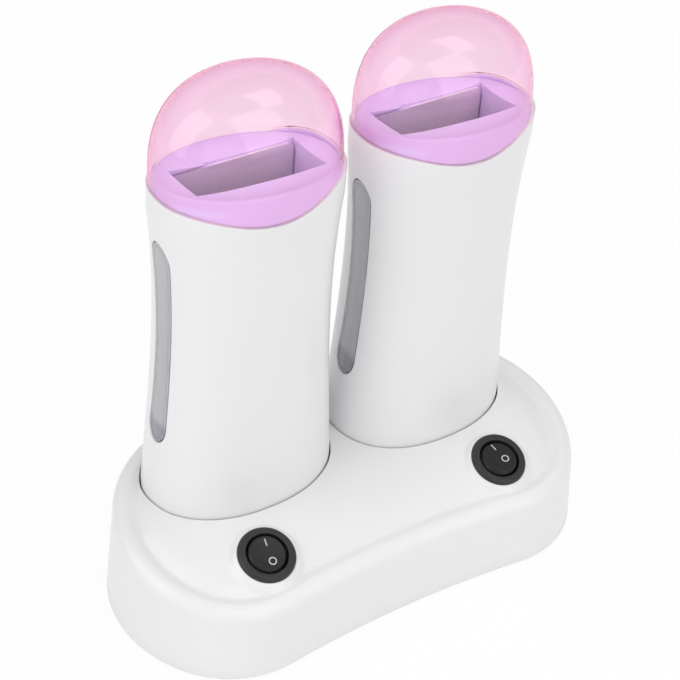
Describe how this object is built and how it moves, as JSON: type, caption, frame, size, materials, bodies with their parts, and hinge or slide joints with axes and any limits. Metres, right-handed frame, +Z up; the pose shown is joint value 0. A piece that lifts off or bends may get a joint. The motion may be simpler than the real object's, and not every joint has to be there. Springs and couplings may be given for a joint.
{
  "type": "roll-on wax heater",
  "caption": "Desktop base with docking cups for upright roll-on wax cartridge heaters, each with a lift-off clear lid, an on-off rocker switch and a level window.",
  "frame": {"origin": "on the table under the middle of the base's outline", "axes": "+X along the base from the left heater to the right one, +Y to the back, +Z up; the switches face the front, -Y"},
  "size_m": [0.2096, 0.103, 0.2246],
  "materials": {
    "white_shell": "satin white ABS, lightly glossy",
    "white_part": "satin white ABS",
    "black_plastic": "fine matt black plastic",
    "rocker_plastic": "smooth black plastic with white I and O",
    "inlet_plastic": "moulded black plastic",
    "foot_rubber": "soft dark rubber",
    "screw_steel": "zinc-plated steel",
    "contact_brass": "gold-plated brass",
    "pin_steel": "nickel-plated brass",
    "wire_pvc": "red PVC insulation",
    "lilac_collar": "translucent lilac plastic with a polished top",
    "pink_lid": "clear pink polycarbonate",
    "smoked_window": "smoky clear polycarbonate",
    "cradle_plastic": "heat-resistant nylon",
    "heating_aluminium": "rolled aluminium sheet",
    "heater_ceramic": "heater wrapped in pale insulating film",
    "clamp_steel": "spring steel strip"
  },
  "bodies": {
    "base": {"base_shell": "white_shell", "base_plate": "white_part", "feet": "foot_rubber", "base_screws": "screw_steel", "mains_inlet": "inlet_plastic", "inlet_pins": "pin_steel", "base_wires": "wire_pvc", "dock_cup_left": "white_part", "contact_carrier_left": "black_plastic", "contact_barrels_left": "contact_brass", "switch_housing_left": "black_plastic", "switch_terminals_left": "contact_brass", "dock_cup_right": "white_part", "contact_carrier_right": "black_plastic", "contact_barrels_right": "contact_brass", "switch_housing_right": "black_plastic", "switch_terminals_right": "contact_brass"},
    "rocker_left": {"rocker_left": "rocker_plastic"},
    "rocker_right": {"rocker_right": "rocker_plastic"},
    "contact_pin_left_1": {"contact_pin_left_1": "contact_brass"},
    "contact_pin_left_2": {"contact_pin_left_2": "contact_brass"},
    "contact_pin_right_1": {"contact_pin_right_1": "contact_brass"},
    "contact_pin_right_2": {"contact_pin_right_2": "contact_brass"},
    "heater_left": {"body_left": "white_shell", "body_cap_left": "white_part", "cap_screws_left": "screw_steel", "contact_pads_left": "contact_brass", "window_left": "smoked_window", "collar_left": "lilac_collar", "cradle_left": "cradle_plastic", "heating_plate_left": "heating_aluminium", "ptc_heater_left": "heater_ceramic", "thermostat_left": "clamp_steel", "thermal_fuse_left": "heater_ceramic", "heater_clamp_left": "clamp_steel", "heater_leads_left": "wire_pvc"},
    "heater_right": {"body_right": "white_shell", "body_cap_right": "white_part", "cap_screws_right": "screw_steel", "contact_pads_right": "contact_brass", "window_right": "smoked_window", "collar_right": "lilac_collar", "cradle_right": "cradle_plastic", "heating_plate_right": "heating_aluminium", "ptc_heater_right": "heater_ceramic", "thermostat_right": "clamp_steel", "thermal_fuse_right": "heater_ceramic", "heater_clamp_right": "clamp_steel", "heater_leads_right": "wire_pvc"},
    "lid_left": {"lid_left": "pink_lid"},
    "lid_right": {"lid_right": "pink_lid"}
  },
  "joints": [
    {"name": "switch_left", "type": "hinge", "parent": "base", "child": "rocker_left", "pos_m": [-0.0558, -0.02776, 0.03934], "axis": [0.9945, -0.0973, -0.0383], "range_deg": [-14, 0]},
    {"name": "switch_right", "type": "hinge", "parent": "base", "child": "rocker_right", "pos_m": [0.0558, -0.02776, 0.03934], "axis": [0.9781, 0.1934, 0.0762], "range_deg": [0, 14]},
    {"name": "contact_pin_left_1_travel", "type": "slide", "parent": "base", "child": "contact_pin_left_1", "axis": [0, 0, 1], "range_m": [-0.0015, 0], "stiffness_N_per_m": 250, "springref_m": 0.001},
    {"name": "contact_pin_left_2_travel", "type": "slide", "parent": "base", "child": "contact_pin_left_2", "axis": [0, 0, 1], "range_m": [-0.0015, 0], "stiffness_N_per_m": 250, "springref_m": 0.001},
    {"name": "contact_pin_right_1_travel", "type": "slide", "parent": "base", "child": "contact_pin_right_1", "axis": [0, 0, 1], "range_m": [-0.0015, 0], "stiffness_N_per_m": 250, "springref_m": 0.001},
    {"name": "contact_pin_right_2_travel", "type": "slide", "parent": "base", "child": "contact_pin_right_2", "axis": [0, 0, 1], "range_m": [-0.0015, 0], "stiffness_N_per_m": 250, "springref_m": 0.001},
    {"name": "heater_left_lift", "type": "slide", "parent": "base", "child": "heater_left", "axis": [0, 0, 1], "range_m": [0, 0.06]},
    {"name": "heater_right_lift", "type": "slide", "parent": "base", "child": "heater_right", "axis": [0, 0, 1], "range_m": [0, 0.06]},
    {"name": "lid_left_lift", "type": "slide", "parent": "heater_left", "child": "lid_left", "axis": [0, 0, 1], "range_m": [0, 0.04]},
    {"name": "lid_right_lift", "type": "slide", "parent": "heater_right", "child": "lid_right", "axis": [0, 0, 1], "range_m": [0, 0.04]}
  ]
}
